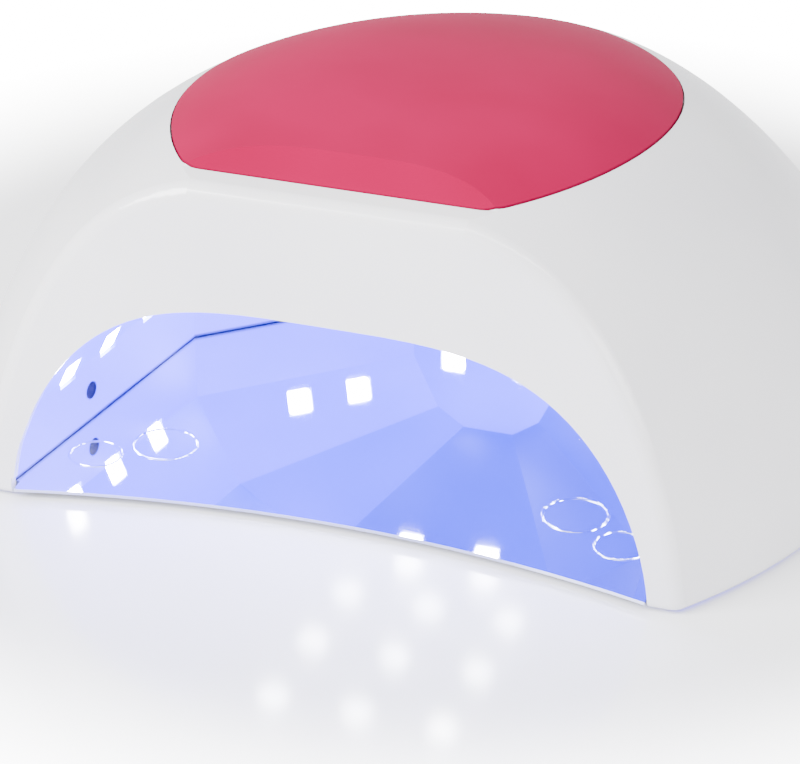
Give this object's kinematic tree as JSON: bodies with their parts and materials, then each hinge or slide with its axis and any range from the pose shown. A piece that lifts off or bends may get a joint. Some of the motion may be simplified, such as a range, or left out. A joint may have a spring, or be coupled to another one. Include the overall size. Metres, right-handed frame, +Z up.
{
  "type": "uv led nail lamp",
  "caption": "Desk-top LED lamp with an arched hand opening, a mirror floor that lifts away, and timer buttons with a display at the back, for curing gel nail polish.",
  "frame": {"origin": "centre of the footprint, on the table under the rubber feet", "axes": "+Z up, -Y out of the arched hand opening, +X to the right of someone facing the opening"},
  "size_m": [0.2288, 0.199, 0.0926],
  "materials": {
    "white_shell": "glossy pearl white moulded ABS",
    "pink_panel": "satin pink moulded ABS",
    "reflector": "metallised reflector",
    "mirror_steel": "mirror-polished stainless steel",
    "grey_tray": "moulded grey plastic",
    "foot_rubber": "soft rubber",
    "lamp_lens": "lit lamp bead",
    "core_board": "aluminium-core board with white mask",
    "sensor_dark": "dark infrared lens",
    "green_board": "glass-fibre circuit board",
    "chip_black": "moulded epoxy",
    "ferrite": "pressed ferrite",
    "capacitor_can": "sleeved can",
    "socket_white": "moulded nylon",
    "button_grey": "moulded ABS",
    "window_smoke": "smoked acrylic",
    "display_face": "digit block",
    "jack_black": "moulded nylon",
    "pin_metal": "nickelled brass",
    "screw_steel": "zinc-plated steel",
    "magnet_nickel": "nickel-plated magnet",
    "wire_red": "soft wire cover",
    "wire_grey": "soft wire cover"
  },
  "bodies": {
    "base": {"mirror_plate": "mirror_steel", "base_tray": "grey_tray", "base_feet": "foot_rubber"},
    "lamp": {"back_lamp_board": "core_board", "back_lamps": "lamp_lens", "buzzer": "chip_black", "control_board": "green_board", "control_chips": "chip_black", "control_screws": "screw_steel", "control_socket": "socket_white", "dc_jack": "jack_black", "display_module": "display_face", "display_window": "window_smoke", "driver_board": "green_board", "driver_capacitors": "capacitor_can", "driver_chips": "chip_black", "driver_inductors": "ferrite", "driver_screws": "screw_steel", "driver_sockets": "socket_white", "jack_pin": "pin_metal", "lamp_board_screws": "screw_steel", "lead_back": "wire_grey", "lead_control": "wire_grey", "lead_left_corner": "wire_grey", "lead_left_side": "wire_grey", "lead_power": "wire_red", "lead_right_corner": "wire_grey", "lead_right_side": "wire_grey", "left_corner_lamp_board": "core_board", "left_corner_lamps": "lamp_lens", "left_side_lamp_board": "core_board", "left_side_lamps": "lamp_lens", "liner_screws": "screw_steel", "panel_screws": "screw_steel", "plate_magnets": "magnet_nickel", "rear_roof_lamp_board": "core_board", "rear_roof_lamps": "lamp_lens", "reflector_liner": "reflector", "right_corner_lamp_board": "core_board", "right_corner_lamps": "lamp_lens", "right_side_lamp_board": "core_board", "right_side_lamps": "lamp_lens", "roof_header": "chip_black", "roof_lamp_board": "core_board", "roof_lamps": "lamp_lens", "sensor_emitter": "sensor_dark", "sensor_receiver": "sensor_dark", "tact_switches": "chip_black", "top_panel": "pink_panel", "upper_shell": "white_shell"},
    "button_1": {"timer_button_1": "button_grey"},
    "button_2": {"timer_button_2": "button_grey"},
    "button_3": {"timer_button_3": "button_grey"},
    "button_4": {"timer_button_4": "button_grey"}
  },
  "joints": [
    {"name": "lamp_lift", "type": "slide", "parent": "base", "child": "lamp", "axis": [0, 0, 1], "range_m": [0, 0.04]},
    {"name": "press_button_1", "type": "slide", "parent": "lamp", "child": "button_1", "axis": [0, -0.9272, -0.3746], "range_m": [0, 0.0005], "stiffness_N_per_m": 1500},
    {"name": "press_button_2", "type": "slide", "parent": "lamp", "child": "button_2", "axis": [0, -0.9272, -0.3746], "range_m": [0, 0.0005], "stiffness_N_per_m": 1500},
    {"name": "press_button_3", "type": "slide", "parent": "lamp", "child": "button_3", "axis": [0, -0.9272, -0.3746], "range_m": [0, 0.0005], "stiffness_N_per_m": 1500},
    {"name": "press_button_4", "type": "slide", "parent": "lamp", "child": "button_4", "axis": [0, -0.9272, -0.3746], "range_m": [0, 0.0005], "stiffness_N_per_m": 1500}
  ]
}
